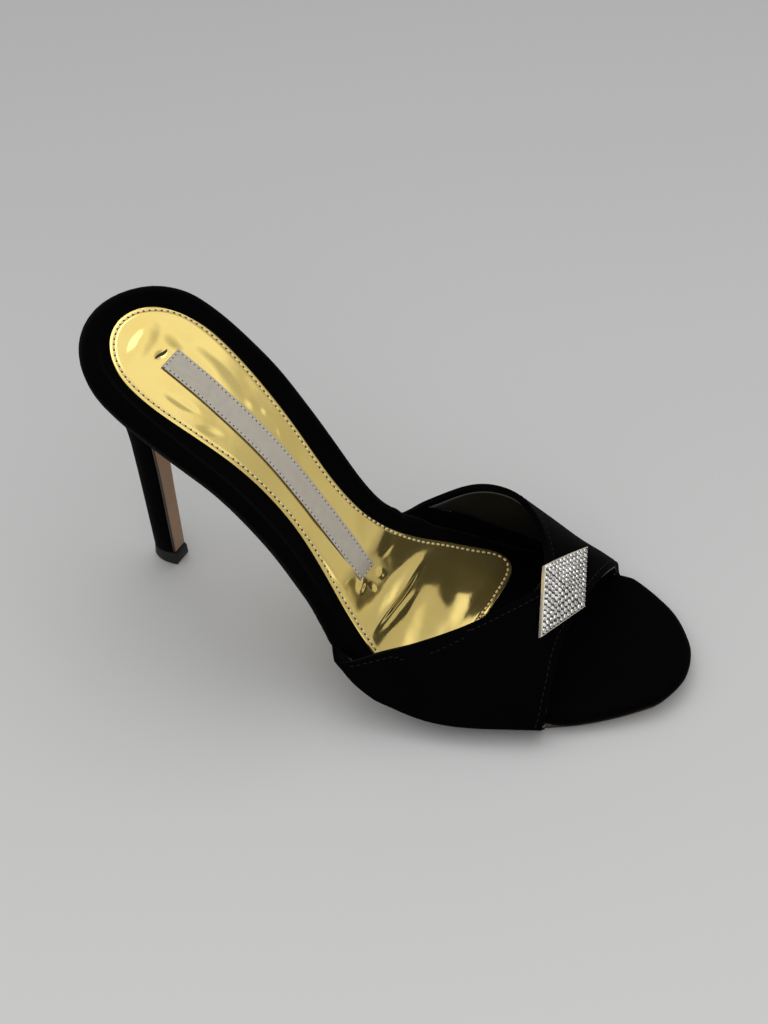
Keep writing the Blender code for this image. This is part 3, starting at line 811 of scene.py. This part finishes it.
# The sunk bed under the stones, its dark colour painted shade.
bmesh.ops.create_grid(bed, x_segments=STONE_ROWS, y_segments=STONE_ROWS, size=BED)
for v in bed.verts:
    one, two = v.co.x, v.co.y
    v.co = on_brooch(one, two) + face_up(one, two) * BED_RISE * MM
bmesh.ops.recalc_face_normals(bed, faces=bed.faces)
piece("stone_bed", bed, [stone_gap_painted_shade], wall=0.1)


# ================================================================ floor, light and camera
# A pale seamless floor under a large soft light from behind and above, filled from the
# front; the camera stands at the front of the shoe's outer side and looks down on it.

floor_paper, at = new_finish("pale_paper", (0.62, 0.625, 0.615), 0.9)
lengthwise = at.node("SeparateXYZ", {}, {0: at}, output=0)
crosswise = at.node("SeparateXYZ", {}, {0: at}, output=1)
# Painted shade: the paper darkens towards the shoe's inner side and its heel, standing in for
# uneven light, in metres from the shoe's middle.
painted_falloff = at.node("Clamp", {}, {"Value": 0.42 + 1.2 * crosswise - 0.55 * lengthwise})
feed(floor_paper, Base_Color=(painted_falloff + 0.06 * cloud(at, 300.0, 1.0)).blend(
    (0.69, 0.695, 0.68, 1), (0.43, 0.435, 0.43, 1)))
sheet = bmesh.new()
bmesh.ops.create_grid(sheet, x_segments=1, y_segments=1, size=4.0)
floor_mesh = bpy.data.meshes.new("floor")
sheet.to_mesh(floor_mesh)
sheet.free()
floor_mesh.materials.append(floor_paper)
floor = bpy.data.objects.new("floor", floor_mesh)
bpy.context.collection.objects.link(floor)
floor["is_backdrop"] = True

LAMPS = (
    # name, place, aim, width, height, power
    ("overhead_softbox", (-0.5, 1.0, 2.4), (0.0, 0.0, 0.05), 1.8, 1.8, 12),
    ("front_fill", (0.6, -2.0, 1.2), (0.0, 0.0, 0.05), 1.6, 1.2, 4),
)
for name, place, aim, wide, high, power in LAMPS:
    lamp = bpy.data.lights.new(name, "AREA")
    lamp.shape, lamp.size, lamp.size_y, lamp.energy = "RECTANGLE", wide, high, power
    stand = bpy.data.objects.new(name, lamp)
    stand.location = place
    stand.rotation_mode = "QUATERNION"
    stand.rotation_quaternion = (Vector(aim) - Vector(place)).to_track_quat("-Z", "Y")
    bpy.context.collection.objects.link(stand)

room = bpy.data.worlds.new("room")
room.use_nodes = True
walls = Wire(room.node_tree).node("TexCoord", {}, {}, output=0)
rise = walls.node("SeparateXYZ", {}, {0: walls}, output=2)
sky = rise.node("ValToRGB", {"stops": ((0.0, (0.24, 0.24, 0.24)), (0.2, (0.54, 0.54, 0.54)),
                                       (0.45, (0.46, 0.46, 0.46)), (0.64, (0.50, 0.50, 0.51)),
                                       (0.76, (1.0, 1.0, 1.0)), (1.0, (0.84, 0.84, 0.85)))},
                {0: rise})
background = room.node_tree.nodes["Background"]
room.node_tree.links.new(sky.socket, background.inputs["Color"])
background.inputs["Strength"].default_value = 1.06
bpy.context.scene.world = room

CAMERA_PLACE = Vector((0.18999, -0.50872, 0.650))
CAMERA_AHEAD = Vector((-0.23158, 0.67582, -0.69974))
AIM_ASIDE = (-0.0188912, -0.0566735)    # from that direction, aside and down
ROLL = -0.64                        # in degrees

lens = bpy.data.cameras.new("camera")
lens.lens, lens.sensor_width = 85.6, 36
straight = CAMERA_AHEAD.to_track_quat("-Z", "Y") @ Matrix.Rotation(
    math.radians(ROLL), 3, "Z").to_quaternion()
camera = bpy.data.objects.new("camera", lens)
camera.location = CAMERA_PLACE
camera.rotation_mode = "QUATERNION"
camera.rotation_quaternion = straight @ Vector((0, 0, -1)).rotation_difference(
    Vector((*AIM_ASIDE, -1)))
bpy.context.collection.objects.link(camera)
bpy.context.scene.camera = camera
bpy.context.scene.view_settings.view_transform = "Standard"

low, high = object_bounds()
{"cad": [list(cad_low), list(cad_high)], "visual": [list(low), list(high)]}
